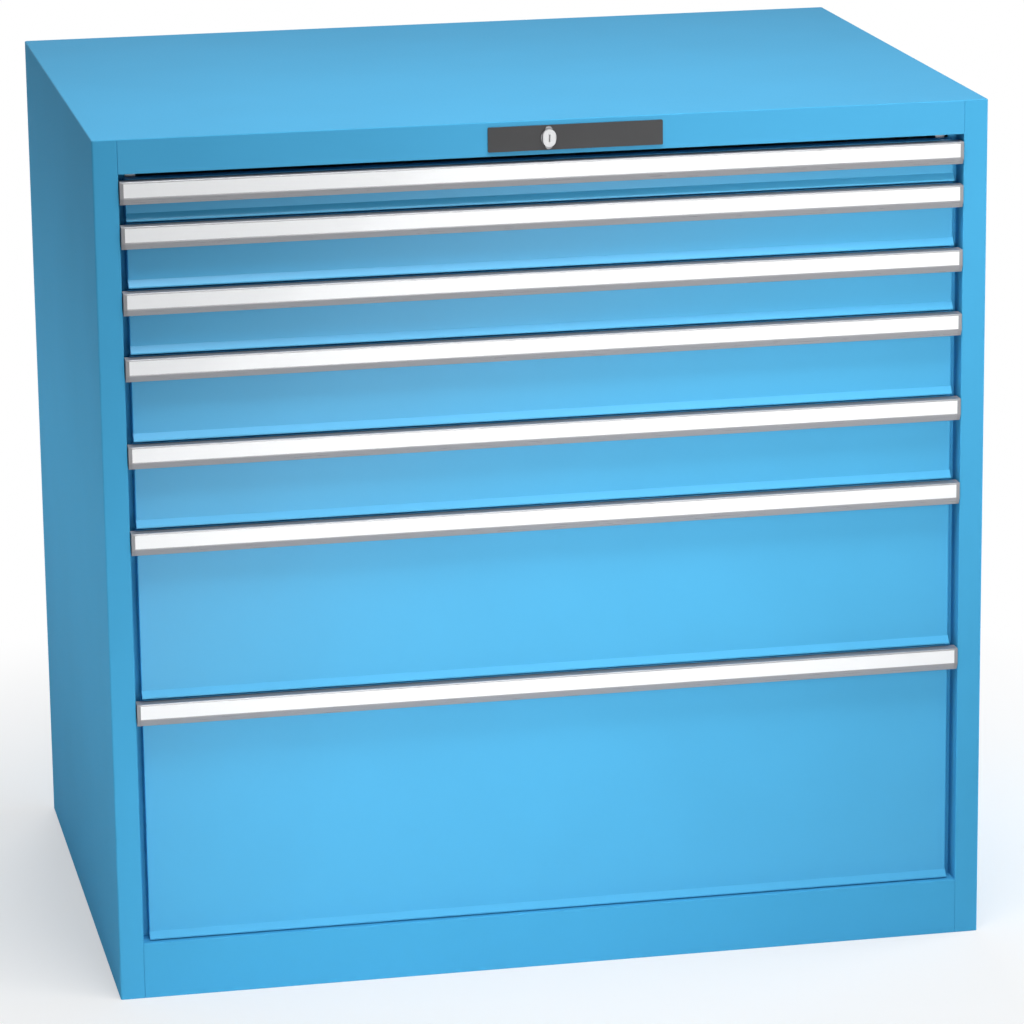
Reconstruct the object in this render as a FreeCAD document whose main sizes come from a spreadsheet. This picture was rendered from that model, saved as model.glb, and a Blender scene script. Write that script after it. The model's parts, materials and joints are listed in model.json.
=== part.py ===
import FreeCAD, Part
import Sketcher
import math
import os
import re

# Modular drawer cabinet of sheet steel: a welded housing, seven drawers on full-extension roller
# slides and a central lock. Millimetres, +Z up, +X to the right seen from the front, the front
# faces -Y. The origin is at the middle of the housing's underside.

DIMENSIONS = {
    # housing
    "housing_width": 1023.0,
    "housing_depth": 725.0,
    "housing_height": 1000.0,
    "housing_sheet": 1.5,
    "corner_radius": 2.5,
    "top_edge_radius": 1.4,
    "post_width": 28.25,
    "post_return": 29.5,
    "post_step": 10.25,
    "post_edge_radius": 1.2,
    "rear_flange": 25.0,
    "foot_flange": 20.0,
    "top_rail_height": 39.0,
    "base_height": 66.0,
    # slotted uprights
    "upright_depth": 25.0,
    "upright_width": 40.0,
    "hole_pitch": 25.0,
    "hole_height": 12.0,
    "hole_width": 5.0,
    # drawers
    "slide_space": 23.25,
    "usable_depth": 612.0,
    "tray_sheet": 1.0,
    "tray_hem": 8.0,
    "tray_lift": 2.0,
    "tray_headroom": 16.0,
    "front_sheet": 1.5,
    "front_recess": 12.5,
    "front_shell": 15.0,
    "front_side_gap": 8.5,
    "front_flange_lap": 8.0,
    "front_top_gap": 7.0,
    "front_grid_gap": 1.0,
    "base_gap": 1.5,
    "lip_drop": 4.0,
    "lip_rise": 4.6,
    "lip_reach": 5.5,
    "lip_edge": 1.5,
    "lip_fold_run": 1.95,
    "lip_fold_rise": 0.45,
    "front_edge_radius": 1.2,
    # handles
    "handle_height": 26.0,
    "handle_proud": 3.5,
    "handle_drop": 0.5,
    "handle_wall": 1.8,
    "handle_foot": 20.0,
    "handle_side_gap": 1.0,
    "handle_slant_height": 7.0,
    "handle_slant": 4.0,
    "handle_slant_radius": 5.0,
    "handle_top_radius": 1.2,
    "cap_width": 4.0,
    "label_height": 15.5,
    "label_depth": 1.2,
    "label_top": 2.0,
    # roller slides
    "slide_height": 30.0,
    "slide_lift": 8.0,
    "slide_floor_gap": 1.5,
    "rail_sheet": 1.5,
    "rail_setback": 62.5,
    "rail_length": 630.0,
    "outer_flange": 12.0,
    "inner_flange": 8.5,
    "inner_rail_setback": 36.5,
    "bar_thickness": 2.0,
    "bar_gap": 1.0,
    "bar_margin": 2.0,
    "bar_setback": 42.5,
    "roller_gap": 0.3,
    "inner_roller_width": 6.8,
    "outer_roller_width": 10.0,
    "inner_roller_front": 57.5,
    "inner_roller_spacing": 235.0,
    "outer_roller_end": 30.0,
    "outer_roller_spacing": 240.0,
    "tab_height": 10.0,
    "tab_width": 3.0,
    "tab_reach": 3.0,
    # central lock
    "lock_drop": 20.0,
    "cover_width": 200.0,
    "cover_height": 28.0,
    "cover_shift": 31.0,
    "cover_thickness": 2.0,
    "cover_radius": 1.2,
    "bezel_width": 8.5,
    "bezel_height": 26.0,
    "bezel_thickness": 1.0,
    "barrel_radius": 9.0,
    "barrel_length": 15.0,
    "knob_width": 14.6,
    "knob_height": 20.0,
    "knob_thickness": 3.5,
    "plug_radius": 6.0,
    "turning_gap": 0.3,
    "plug_tail": 4.0,
    "key_slot_width": 1.8,
    "key_slot_height": 8.0,
    "key_slot_depth": 3.0,
    "lock_travel": 7.0,
    "pin_radius": 1.75,
    "pin_gap": 0.4,
    "lock_bar_sheet": 2.0,
    "lock_bar_gap": 0.3,
    "lock_bar_width": 18.0,
    "lock_bar_inset": 2.0,
    "lock_arm_height": 16.0,
    "lock_arm_end": 16.0,
    "finger_height": 4.0,
    "finger_reach": 16.0,
    "catch_height": 6.5,
    "catch_thickness": 2.0,
    "catch_reach": 11.5,
    "catch_gap": 1.5,
}

# Height of each drawer front in steps of the hole pitch, from the top. The last front is cut short
# by the base and reaches down to it.
FRONT_STEPS = (2, 3, 3, 4, 4, 8)
DRAWERS = range(1, len(FRONT_STEPS) + 2)

document = FreeCAD.newDocument("drawer_cabinet")
sizes = document.addObject("Spreadsheet::Sheet", "Sizes")
for row, (alias, number) in enumerate(DIMENSIONS.items(), start=1):
    sizes.set(f"A{row}", alias)
    sizes.set(f"B{row}", str(number))
    sizes.setAlias(f"B{row}", alias)
document.recompute()


def formula(text):
    """An expression in which each name of the sheet refers to its cell."""
    return re.sub(r"[a-z][a-z_0-9]*", lambda word: cell(word[0]), text)


def cell(word):
    return f"Sizes.{word}" if word in DIMENSIONS else word


def value(text):
    return float(sizes.evalExpression(formula(text)))


# Places that several pieces share
half_width = "(housing_width / 2)"
front_plane = "(-housing_depth / 2)"
rear_plane = "(housing_depth / 2)"
opening_half = "(housing_width / 2 - post_width)"
step_face = "(-housing_depth / 2 + post_return)"
step_back = "(-housing_depth / 2 + post_return + housing_sheet)"
step_tip = "(housing_width / 2 - post_width - post_step)"
upright_face = "(housing_width / 2 - housing_sheet - upright_depth)"
grid_top = "(housing_height - top_rail_height - front_grid_gap)"
panel_half = "(housing_width / 2 - post_width - front_side_gap)"
panel_face = "(-housing_depth / 2 + front_recess)"
panel_back = "(-housing_depth / 2 + front_recess + front_shell)"
tray_half = f"({opening_half} - slide_space)"
tray_rear = f"({panel_back} + usable_depth + 2 * tray_sheet)"
handle_reach = "(front_recess + handle_proud)"
handle_half = f"({opening_half} - handle_side_gap)"
rail_front = "(-housing_depth / 2 + rail_setback)"
rail_rear = "(-housing_depth / 2 + rail_setback + rail_length)"
bar_inner = f"({tray_half} + inner_flange + bar_gap)"
bar_outer = f"({tray_half} + inner_flange + bar_gap + bar_thickness)"
bar_front = "(-housing_depth / 2 + bar_setback)"
roller_radius = "(slide_height / 2 - rail_sheet - roller_gap)"
lock_bar_face = f"({step_back} + lock_bar_gap)"
lock_bar_outer = f"({opening_half} - lock_bar_inset)"
lock_level = "(housing_height - lock_drop)"
pin_offset = "(lock_travel / 2)"
pin_sweep = f"({pin_offset} * (sqrt(2) - 1))"


def steps_above(drawer):
    return sum(FRONT_STEPS[:drawer])


def slot_top(drawer):
    return f"({grid_top} - {steps_above(drawer - 1)} * hole_pitch)"


def slot_floor(drawer):
    """Lower end of a drawer's share of the front; the last one ends just above the base."""
    if drawer == DRAWERS[-1]:
        return "(base_height + base_gap + lip_drop)"
    return f"({grid_top} - {steps_above(drawer)} * hole_pitch)"


def rail_bottom(drawer):
    """Underside of a drawer's slides, in the hole row of its front or the lowest that clears the base."""
    if drawer == DRAWERS[-1]:
        room = f"({grid_top} + slide_lift - base_height - slide_floor_gap)"
        return f"({grid_top} - hole_pitch * floor({room} / hole_pitch) + slide_lift)"
    return f"({grid_top} - {steps_above(drawer)} * hole_pitch + slide_lift)"


# Drawing helpers. A cut starts or ends 1 mm past the sheet, so that no skin is left.


def new_body(label):
    body = document.addObject("PartDesign::Body", label)
    body.Label = label
    return body


def origin_plane(body, role):
    return next(item for item in body.Origin.OriginFeatures if item.Role == role)


def new_sketch(body, plane, offset):
    sketch = body.newObject("Sketcher::SketchObject", "Sketch")
    sketch.AttachmentSupport = (origin_plane(body, plane), [""])
    sketch.MapMode = "FlatFace"
    sketch.setExpression("AttachmentOffset.Base.z", formula(offset))
    return sketch


def fix_point(sketch, geometry, point, place):
    """Bind a point's distances from the sketch's origin to the sheet."""
    for kind, text in zip(("DistanceX", "DistanceY"), place):
        rule = Sketcher.Constraint(kind, -1, 1, geometry, point, value(text))
        number = sketch.addConstraint(rule)
        sketch.setExpression(f"Constraints[{number}]", formula(text))


def polygons(body, plane, loops, offset="0"):
    """A sketch of closed outlines, each a list of corners given as a pair of expressions."""
    sketch = new_sketch(body, plane, offset)
    for corners in loops:
        first = sketch.GeometryCount
        places = [FreeCAD.Vector(value(across), value(along), 0) for across, along in corners]
        count = len(places)
        for index in range(count):
            line = Part.LineSegment(places[index], places[(index + 1) % count])
            sketch.addGeometry(line, False)
        for index in range(count):
            following = first + (index + 1) % count
            sketch.addConstraint(Sketcher.Constraint("Coincident", first + index, 2, following, 1))
        for index, corner in enumerate(corners):
            fix_point(sketch, first + index, 1, corner)
    return sketch


def circle(body, plane, centre, radius, offset="0"):
    sketch = new_sketch(body, plane, offset)
    middle = FreeCAD.Vector(value(centre[0]), value(centre[1]), 0)
    sketch.addGeometry(Part.Circle(middle, FreeCAD.Vector(0, 0, 1), value(radius)), False)
    number = sketch.addConstraint(Sketcher.Constraint("Radius", 0, value(radius)))
    sketch.setExpression(f"Constraints[{number}]", formula(radius))
    fix_point(sketch, 0, 3, centre)
    return sketch


def rectangle(low, high):
    """The corners of a rectangle between two points."""
    return [(low[0], low[1]), (high[0], low[1]), (high[0], high[1]), (low[0], high[1])]


def grow(body, sketch, length, midplane=False, backwards=False):
    return extrude(body, "PartDesign::Pad", sketch, length, midplane, backwards)


def cut(body, sketch, length, midplane=False, backwards=False):
    return extrude(body, "PartDesign::Pocket", sketch, length, midplane, backwards)


def extrude(body, kind, sketch, length, midplane, backwards):
    feature = body.newObject(kind, kind.split("::")[1])
    feature.Profile = sketch
    feature.Midplane = midplane
    feature.Reversed = backwards
    feature.setExpression("Length", formula(length))
    document.recompute()
    return feature


def edges_along(feature, axis, places):
    """Names of the straight edges that run along an axis (0, 1, 2) at the given places across it."""
    across = [number for number in range(3) if number != axis]
    wanted = [[value(text) for text in place] for place in places]
    names = []
    for number, edge in enumerate(feature.Shape.Edges, start=1):
        box = edge.BoundBox
        low = (box.XMin, box.YMin, box.ZMin)
        high = (box.XMax, box.YMax, box.ZMax)
        if max(high[side] - low[side] for side in across) > 0.001:
            continue
        for place in wanted:
            if all(abs(low[side] - want) < 0.001 for side, want in zip(across, place)):
                names.append(f"Edge{number}")
    return names


def round_edges(body, base, axis, places, radius):
    feature = body.newObject("PartDesign::Fillet", "Fillet")
    feature.Base = (base, edges_along(base, axis, places))
    feature.setExpression("Radius", formula(radius))
    document.recompute()
    return feature


def place_at(thing, across="0", along="0", up="0"):
    for letter, text in zip("xyz", (across, along, up)):
        thing.setExpression(f"Placement.Base.{letter}", formula(text))


def block(label, low, length, width, height):
    """A box with its low corner and sizes bound to the sheet."""
    box = document.addObject("Part::Box", label)
    for side, text in zip(("Length", "Width", "Height"), (length, width, height)):
        box.setExpression(side, formula(text))
    place_at(box, *low)
    return box


def roller(label, low, radius, width):
    """A cylinder that lies along X, starting at its low end."""
    cylinder = document.addObject("Part::Cylinder", label)
    cylinder.setExpression("Radius", formula(radius))
    cylinder.setExpression("Height", formula(width))
    cylinder.Placement = FreeCAD.Placement(FreeCAD.Vector(), FreeCAD.Rotation(FreeCAD.Vector(0, 1, 0), 90))
    place_at(cylinder, *low)
    return cylinder


def mirrored(source, label, middle=None):
    """The mirror image of a piece in the middle plane, or in a plane across the depth."""
    image = document.addObject("Part::Mirroring", label)
    image.Label = label
    image.Source = source
    if middle is None:
        image.Normal = FreeCAD.Vector(1, 0, 0)
    else:
        image.Normal = FreeCAD.Vector(0, 1, 0)
        image.setExpression("Base.y", formula(middle))
    return image


def group(label, pieces):
    """Separate solids that share one node."""
    compound = document.addObject("Part::Compound", label)
    compound.Label = label
    compound.Links = pieces
    return compound


# Housing


def right_side_panel():
    """Side wall with the front post and the rear flange folded from the same sheet."""
    body = new_body("right_side_panel")
    sheet = "housing_sheet"
    rear_edge = f"{half_width} - rear_flange"
    profile = [
        (rear_edge, rear_plane),
        (half_width, rear_plane),
        (half_width, front_plane),
        (opening_half, front_plane),
        (opening_half, step_face),
        (step_tip, step_face),
        (step_tip, step_back),
        (f"{opening_half} + {sheet}", step_back),
        (f"{opening_half} + {sheet}", f"{front_plane} + {sheet}"),
        (f"{half_width} - {sheet}", f"{front_plane} + {sheet}"),
        (f"{half_width} - {sheet}", f"{rear_plane} - {sheet}"),
        (rear_edge, f"{rear_plane} - {sheet}"),
    ]
    wall = grow(body, polygons(body, "XY_Plane", [profile]), "housing_height - housing_sheet")
    inner = f"{half_width} - {sheet}"
    wall = round_edges(body, wall, 2, [(inner, f"{front_plane} + {sheet}")], "corner_radius - housing_sheet")
    corners = [(half_width, front_plane), (half_width, rear_plane)]
    wall = round_edges(body, wall, 2, corners, "corner_radius")
    round_edges(body, wall, 2, [(opening_half, front_plane)], "post_edge_radius")
    foot_low = (f"{half_width} - {sheet} - foot_flange", step_back)
    foot = rectangle(foot_low, (inner, f"{rear_plane} - rear_flange"))
    grow(body, polygons(body, "XY_Plane", [foot]), sheet)
    return body


def top_panel():
    """Top sheet with the front rail folded down between the posts."""
    body = new_body("top_panel")
    place_at(body, up="housing_height - top_rail_height")
    sheet = "housing_sheet"
    wide = f"{half_width} + 1"
    drop = "top_rail_height - housing_sheet"
    footprint = rectangle((f"-{half_width}", front_plane), (half_width, rear_plane))
    top = grow(body, polygons(body, "XY_Plane", [footprint]), "top_rail_height")
    corners = [(x, y) for x in (half_width, f"-{half_width}") for y in (front_plane, rear_plane)]
    top = round_edges(body, top, 2, corners, "corner_radius")
    sides = [(y, "top_rail_height") for y in (front_plane, rear_plane)]
    top = round_edges(body, top, 0, sides, "top_edge_radius")
    hollow = rectangle((f"-({wide})", f"{front_plane} + {sheet}"), (wide, f"{rear_plane} + 1"))
    cut(body, polygons(body, "XY_Plane", [hollow]), drop, backwards=True)
    behind = f"{front_plane} + {sheet} + 1"
    right_end = rectangle((opening_half, f"{front_plane} - 1"), (wide, behind))
    left_end = rectangle((f"-({wide})", f"{front_plane} - 1"), (f"-{opening_half}", behind))
    cut(body, polygons(body, "XY_Plane", [right_end, left_end]), drop, backwards=True)
    lower = rectangle((f"-{opening_half}", f"{front_plane} + {sheet}"), (opening_half, step_face))
    grow(body, polygons(body, "XY_Plane", [lower]), sheet)
    centre = ("0", "top_rail_height - lock_drop")
    hole = circle(body, "XZ_Plane", centre, "barrel_radius + turning_gap", f"-({front_plane}) + 1")
    cut(body, hole, "housing_sheet + 2")
    return body


def base_panel():
    """Floor sheet folded down at the front and rear, with feet turned in to stand on."""
    body = new_body("base_panel")
    sheet = "housing_sheet"
    rear = f"({rear_plane} - 2 * {sheet})"
    profile = [
        (front_plane, "0"),
        (front_plane, "base_height"),
        (rear, "base_height"),
        (rear, "0"),
        (f"{rear} - foot_flange", "0"),
        (f"{rear} - foot_flange", sheet),
        (f"{rear} - {sheet}", sheet),
        (f"{rear} - {sheet}", f"base_height - {sheet}"),
        (f"{front_plane} + {sheet}", f"base_height - {sheet}"),
        (f"{front_plane} + {sheet}", sheet),
        (f"{front_plane} + foot_flange", sheet),
        (f"{front_plane} + foot_flange", "0"),
    ]
    pan = grow(body, polygons(body, "YZ_Plane", [profile]), f"2 * {opening_half}", midplane=True)
    round_edges(body, pan, 0, [(front_plane, "base_height")], "top_edge_radius")
    low = (f"{step_tip} - turning_gap", f"{step_face} - turning_gap")
    high = (f"{opening_half} + 1", f"{step_back} + turning_gap")
    right_notch = rectangle(low, high)
    left_notch = rectangle((f"-({high[0]})", low[1]), (f"-({low[0]})", high[1]))
    notches = polygons(body, "XY_Plane", [right_notch, left_notch], "-1")
    cut(body, notches, "base_height + 2", backwards=True)
    return body


def back_panel():
    """Rear sheet, welded on the inside of the rear flanges."""
    sheet = "housing_sheet"
    low = (f"-({half_width} - {sheet})", f"{rear_plane} - 2 * {sheet}", "0")
    return block("back_panel", low, f"2 * ({half_width} - {sheet})", sheet, f"housing_height - {sheet}")


def slotted_uprights():
    """Four channels with a row of hook holes, welded to the side walls front and rear."""
    body = new_body("upright")
    sheet = "housing_sheet"
    wall = f"{half_width} - {sheet}"
    front = rail_front
    rear = f"{rail_front} + upright_width"
    profile = [
        (upright_face, front),
        (upright_face, rear),
        (wall, rear),
        (wall, f"{rear} - {sheet}"),
        (f"{upright_face} + {sheet}", f"{rear} - {sheet}"),
        (f"{upright_face} + {sheet}", f"{front} + {sheet}"),
        (wall, f"{front} + {sheet}"),
        (wall, front),
    ]
    length = "housing_height - 2 * housing_sheet"
    channel = grow(body, polygons(body, "XY_Plane", [profile], sheet), length)
    middle = f"({rail_front} + upright_width / 2)"
    lowest = f"({rail_bottom(DRAWERS[-1])} + slide_height / 2)"
    low = (f"{middle} - hole_width / 2", f"{lowest} - hole_height / 2")
    high = (f"{middle} + hole_width / 2", f"{lowest} + hole_height / 2")
    hole = polygons(body, "YZ_Plane", [rectangle(low, high)], f"{upright_face} + {sheet} + 1")
    first = cut(body, hole, f"{sheet} + 2")
    count = f"(floor((housing_height - {sheet} - hole_height - {lowest}) / hole_pitch) + 1)"
    row = body.newObject("PartDesign::LinearPattern", "LinearPattern")
    row.Originals = [first]
    row.Direction = (origin_plane(body, "Z_Axis"), [""])
    row.setExpression("Length", formula(f"({count} - 1) * hole_pitch"))
    row.setExpression("Occurrences", formula(count))
    body.Tip = row
    document.recompute()
    if not row.Shape.Volume < first.Shape.Volume < channel.Shape.Volume:
        raise RuntimeError("the hook holes cut nothing")
    across = "(rail_length / 2 + rail_setback - housing_depth / 2)"
    rear_right = mirrored(body, "upright_rear_right", across)
    pieces = [body, mirrored(body, "upright_front_left"), rear_right]
    pieces.append(mirrored(rear_right, "upright_rear_left"))
    return group("slotted_uprights", pieces)


# Roller slides


def channel_profile(web, flange_tip):
    """A C section: its web stands at one place across the cabinet and its flanges reach to another."""
    inside = f"{web} + rail_sheet" if value(flange_tip) > value(web) else f"{web} - rail_sheet"
    top = "slide_height"
    return [
        (web, "0"),
        (flange_tip, "0"),
        (flange_tip, "rail_sheet"),
        (inside, "rail_sheet"),
        (inside, f"{top} - rail_sheet"),
        (flange_tip, f"{top} - rail_sheet"),
        (flange_tip, top),
        (web, top),
    ]


def cabinet_rail(drawer):
    """Fixed rail, hooked into the uprights by two tabs."""
    body = new_body(f"cabinet_rail_{drawer}")
    place_at(body, up=rail_bottom(drawer))
    profile = channel_profile(upright_face, f"({upright_face} - outer_flange)")
    grow(body, polygons(body, "XZ_Plane", [profile], f"-{rail_rear}"), "rail_length")
    tabs = []
    for middle in (f"({rail_front} + upright_width / 2)", f"({rail_rear} - upright_width / 2)"):
        low = (f"{middle} - tab_width / 2", "slide_height / 2 - tab_height / 2")
        high = (f"{middle} + tab_width / 2", "slide_height / 2 + tab_height / 2")
        tabs.append(rectangle(low, high))
    grow(body, polygons(body, "YZ_Plane", tabs, upright_face), "tab_reach")
    return body


def cabinet_rails():
    pieces = []
    for drawer in DRAWERS:
        rail = cabinet_rail(drawer)
        pieces += [rail, mirrored(rail, f"cabinet_rail_{drawer}_left")]
    return group("cabinet_rails", pieces)


def drawer_rails(drawer):
    """The rails on a drawer's sides, each with the catch that the lock holds."""
    body = new_body(f"drawer_rail_{drawer}")
    place_at(body, up=rail_bottom(drawer))
    profile = channel_profile(tray_half, f"({tray_half} + inner_flange)")
    front = "(-housing_depth / 2 + inner_rail_setback)"
    grow(body, polygons(body, "XZ_Plane", [profile], f"-{tray_rear}"), f"{tray_rear} - {front}")
    low = (f"{tray_half}", "slide_height - 2 * rail_sheet")
    high = (f"{tray_half} + catch_reach", "slide_height + catch_height")
    catch = polygons(body, "XZ_Plane", [rectangle(low, high)], f"-({front} + catch_thickness)")
    grow(body, catch, "catch_thickness")
    label = f"drawer_{drawer}_rails"
    return group(label, [body, mirrored(body, f"drawer_rail_{drawer}_left")])


def carriage(drawer):
    """Middle member of both slides: a bar with rollers in the drawer's rail and in the fixed one."""
    level = rail_bottom(drawer)
    low = (bar_inner, bar_front, f"{level} + bar_margin")
    length = f"{rail_rear} - {bar_front}"
    pieces = [block(f"bar_{drawer}", low, "bar_thickness", length, "slide_height - 2 * bar_margin")]
    axle = f"{level} + slide_height / 2"
    for number in range(2):
        along = f"{front_plane} + inner_roller_front + {number} * inner_roller_spacing"
        start = (f"{bar_inner} - inner_roller_width", along, axle)
        pieces.append(roller(f"inner_roller_{drawer}_{number}", start, roller_radius, "inner_roller_width"))
    for number in range(2):
        along = f"{rail_rear} - outer_roller_end - {1 - number} * outer_roller_spacing"
        start = (bar_outer, along, axle)
        pieces.append(roller(f"outer_roller_{drawer}_{number}", start, roller_radius, "outer_roller_width"))
    right = group(f"carriage_{drawer}_right", pieces)
    return group(f"carriage_{drawer}", [right, mirrored(right, f"carriage_{drawer}_left")])


# Drawers


def tray(drawer):
    """Open box with its upper edges hemmed inwards."""
    body = new_body(f"drawer_{drawer}_tray")
    place_at(body, up=f"{slot_floor(drawer)} + tray_lift")
    depth = f"({slot_top(drawer)} - {slot_floor(drawer)} - tray_headroom)"
    sheet = "tray_sheet"
    outside = rectangle((f"-{tray_half}", panel_back), (tray_half, tray_rear))
    grow(body, polygons(body, "XY_Plane", [outside]), depth)
    mouth = rectangle(
        (f"-({tray_half} - 2 * {sheet})", f"{panel_back} + 2 * {sheet}"),
        (f"{tray_half} - 2 * {sheet}", f"{tray_rear} - 2 * {sheet}"),
    )
    cut(body, polygons(body, "XY_Plane", [mouth], depth), f"{depth} - {sheet}")
    inside = rectangle(
        (f"-({tray_half} - {sheet})", f"{panel_back} + {sheet}"),
        (f"{tray_half} - {sheet}", f"{tray_rear} - {sheet}"),
    )
    cut(body, polygons(body, "XY_Plane", [inside], sheet), f"{depth} - {sheet} - tray_hem", backwards=True)
    return body


def front(drawer):
    """Folded front: a shallow pan with its lower lip flared forward and its sides turned in behind."""
    body = new_body(f"drawer_{drawer}_front")
    place_at(body, up=slot_floor(drawer))
    top = f"({slot_top(drawer)} - {slot_floor(drawer)} - front_top_gap)"
    sheet = "front_sheet"
    edge = f"({panel_face} - lip_reach)"
    outside = [
        (panel_back, "-lip_drop"),
        (edge, "-lip_drop"),
        (edge, "lip_edge - lip_drop"),
        (panel_face, "lip_rise"),
        (panel_face, top),
        (panel_back, top),
    ]
    pan = grow(body, polygons(body, "YZ_Plane", [outside]), f"2 * {panel_half}", midplane=True)
    sides = [(panel_half, panel_face), (f"-{panel_half}", panel_face)]
    pan = round_edges(body, pan, 2, sides, "front_edge_radius")
    rear_inside = f"({panel_back} - {sheet})"
    inside = [
        (rear_inside, f"{sheet} - lip_drop"),
        (f"{edge} + lip_fold_run", f"{sheet} - lip_drop"),
        (f"{panel_face} + {sheet}", "lip_rise + lip_fold_rise"),
        (f"{panel_face} + {sheet}", f"{top} - {sheet}"),
        (rear_inside, f"{top} - {sheet}"),
    ]
    hollow = polygons(body, "YZ_Plane", [inside])
    cut(body, hollow, f"2 * ({panel_half} - {sheet})", midplane=True)
    half_mouth = f"({tray_half} - front_flange_lap)"
    mouth = rectangle((f"-{half_mouth}", f"{sheet} - lip_drop"), (half_mouth, f"{top} - {sheet}"))
    opening = polygons(body, "XZ_Plane", [mouth], f"-({rear_inside} - 1)")
    cut(body, opening, f"{sheet} + 2")
    return body


def handle_place(drawer):
    """Upper edge of the handle."""
    return f"({slot_top(drawer)} - front_top_gap - handle_drop)"


def handle(drawer):
    """Aluminium extrusion: a foot on the front, a web, and a grip wall that slants in below."""
    body = new_body(f"drawer_{drawer}_handle")
    place_at(body, up=handle_place(drawer))
    wall = "handle_wall"
    face = f"({panel_face} - {handle_reach})"
    pocket = f"({face} + label_depth)"
    lower = "-(handle_height - handle_slant_height)"
    profile = [
        (panel_face, "0"),
        (face, "0"),
        (face, "-label_top"),
        (pocket, "-label_top"),
        (pocket, "-(label_top + label_height)"),
        (face, "-(label_top + label_height)"),
        (face, lower),
        (f"{face} + handle_slant", "-handle_height"),
        (f"{face} + handle_slant + {wall}", "-handle_height"),
        (f"{face} + {wall} + label_depth", lower),
        (f"{face} + {wall} + label_depth", f"-{wall}"),
        (f"{panel_face} - {wall}", f"-{wall}"),
        (f"{panel_face} - {wall}", "-handle_foot"),
        (panel_face, "-handle_foot"),
    ]
    length = f"2 * ({handle_half} - cap_width)"
    bar = grow(body, polygons(body, "YZ_Plane", [profile]), length, midplane=True)
    bar = round_edges(body, bar, 0, [(face, "0")], "handle_top_radius")
    round_edges(body, bar, 0, [(face, lower)], "handle_slant_radius")
    return body


def label_strip(drawer):
    """White label strip under a clear cover, in the pocket of the handle."""
    body = new_body(f"drawer_{drawer}_label_strip")
    place_at(body, up=handle_place(drawer))
    face = f"({panel_face} - {handle_reach})"
    low = (face, "-(label_top + label_height)")
    high = (f"{face} + label_depth", "-label_top")
    strip = polygons(body, "YZ_Plane", [rectangle(low, high)])
    grow(body, strip, f"2 * ({handle_half} - cap_width)", midplane=True)
    return body


def end_caps(drawer):
    """Plastic caps that close the ends of the handle."""
    body = new_body(f"end_cap_{drawer}")
    place_at(body, up=handle_place(drawer))
    face = f"({panel_face} - {handle_reach})"
    lower = "-(handle_height - handle_slant_height)"
    profile = [
        (panel_face, "0"),
        (face, "0"),
        (face, lower),
        (f"{face} + handle_slant", "-handle_height"),
        (f"{face} + handle_slant + handle_wall", "-handle_height"),
        (panel_face, "-handle_foot"),
    ]
    start = f"{handle_half} - cap_width"
    cap = grow(body, polygons(body, "YZ_Plane", [profile], start), "cap_width")
    cap = round_edges(body, cap, 0, [(face, "0")], "handle_top_radius")
    round_edges(body, cap, 0, [(face, lower)], "handle_slant_radius")
    label = f"drawer_{drawer}_end_caps"
    return group(label, [body, mirrored(body, f"end_cap_{drawer}_left")])


# Central lock


def lock_cover():
    """Strip on the front rail that frames the lock."""
    body = new_body("lock_cover")
    centre = ("0", lock_level)
    low = ("cover_shift - cover_width / 2", f"{lock_level} - cover_height / 2")
    high = ("cover_shift + cover_width / 2", f"{lock_level} + cover_height / 2")
    outline = polygons(body, "XZ_Plane", [rectangle(low, high)], f"-{front_plane}")
    strip = grow(body, outline, "cover_thickness")
    corners = [(x, z) for x in (low[0], high[0]) for z in (low[1], high[1])]
    strip = round_edges(body, strip, 1, corners, "cover_radius")
    past = f"-{front_plane} + cover_thickness + 1"
    hole = circle(body, "XZ_Plane", centre, "barrel_radius + turning_gap", past)
    cut(body, hole, "cover_thickness + 2")
    return body


def obround(body, plane, centre, width, height, offset):
    """An upright slot shape: two straight sides and two half circles."""
    sketch = new_sketch(body, plane, offset)
    x, z = value(centre[0]), value(centre[1])
    radius = value(width) / 2
    straight = value(height) / 2 - radius
    up = FreeCAD.Vector(0, 0, 1)
    top = Part.Circle(FreeCAD.Vector(x, z + straight, 0), up, radius)
    bottom = Part.Circle(FreeCAD.Vector(x, z - straight, 0), up, radius)
    right = (FreeCAD.Vector(x + radius, z - straight, 0), FreeCAD.Vector(x + radius, z + straight, 0))
    left = (FreeCAD.Vector(x - radius, z + straight, 0), FreeCAD.Vector(x - radius, z - straight, 0))
    sketch.addGeometry(Part.ArcOfCircle(top, 0, math.pi), False)
    sketch.addGeometry(Part.LineSegment(*left), False)
    sketch.addGeometry(Part.ArcOfCircle(bottom, math.pi, 2 * math.pi), False)
    sketch.addGeometry(Part.LineSegment(*right), False)
    for geometry in range(4):
        following = (geometry + 1) % 4
        sketch.addConstraint(Sketcher.Constraint("Tangent", geometry, 2, following, 1))
    number = sketch.addConstraint(Sketcher.Constraint("Radius", 0, radius))
    sketch.setExpression(f"Constraints[{number}]", formula(f"({width}) / 2"))
    fix_point(sketch, 0, 3, (centre[0], f"{centre[1]} + ({height}) / 2 - ({width}) / 2"))
    fix_point(sketch, 2, 3, (centre[0], f"{centre[1]} - ({height}) / 2 + ({width}) / 2"))
    return sketch


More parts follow.
